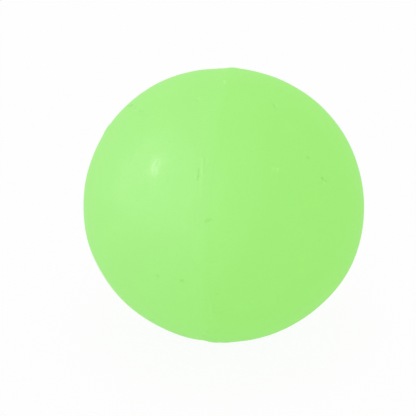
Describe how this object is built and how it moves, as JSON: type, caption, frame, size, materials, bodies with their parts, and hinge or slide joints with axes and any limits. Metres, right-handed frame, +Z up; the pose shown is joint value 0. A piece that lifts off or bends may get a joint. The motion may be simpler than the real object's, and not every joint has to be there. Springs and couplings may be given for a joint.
{
  "type": "bouncy ball",
  "caption": "Solid rubber bouncy ball: a high-bounce core inside moulded half covers, bonded together along a low seam band round the middle.",
  "frame": {"origin": "centre of the ball", "axes": "+X along the moulding axis, square to the seam, from the left cover to the right cover; +Z up; the seam lies in the YZ plane"},
  "size_m": [0.033, 0.0322, 0.0322],
  "materials": {
    "core_rubber": "plain off-white moulded rubber, closed in",
    "cover_rubber": "satin pale green moulded rubber with a fine grain",
    "seam_rubber": "pale green rubber, trimmed flush and left slightly ragged"
  },
  "bodies": {
    "root": {"core": "core_rubber", "left_cover": "cover_rubber", "right_cover": "cover_rubber", "seam_band": "seam_rubber"}
  },
  "joints": []
}
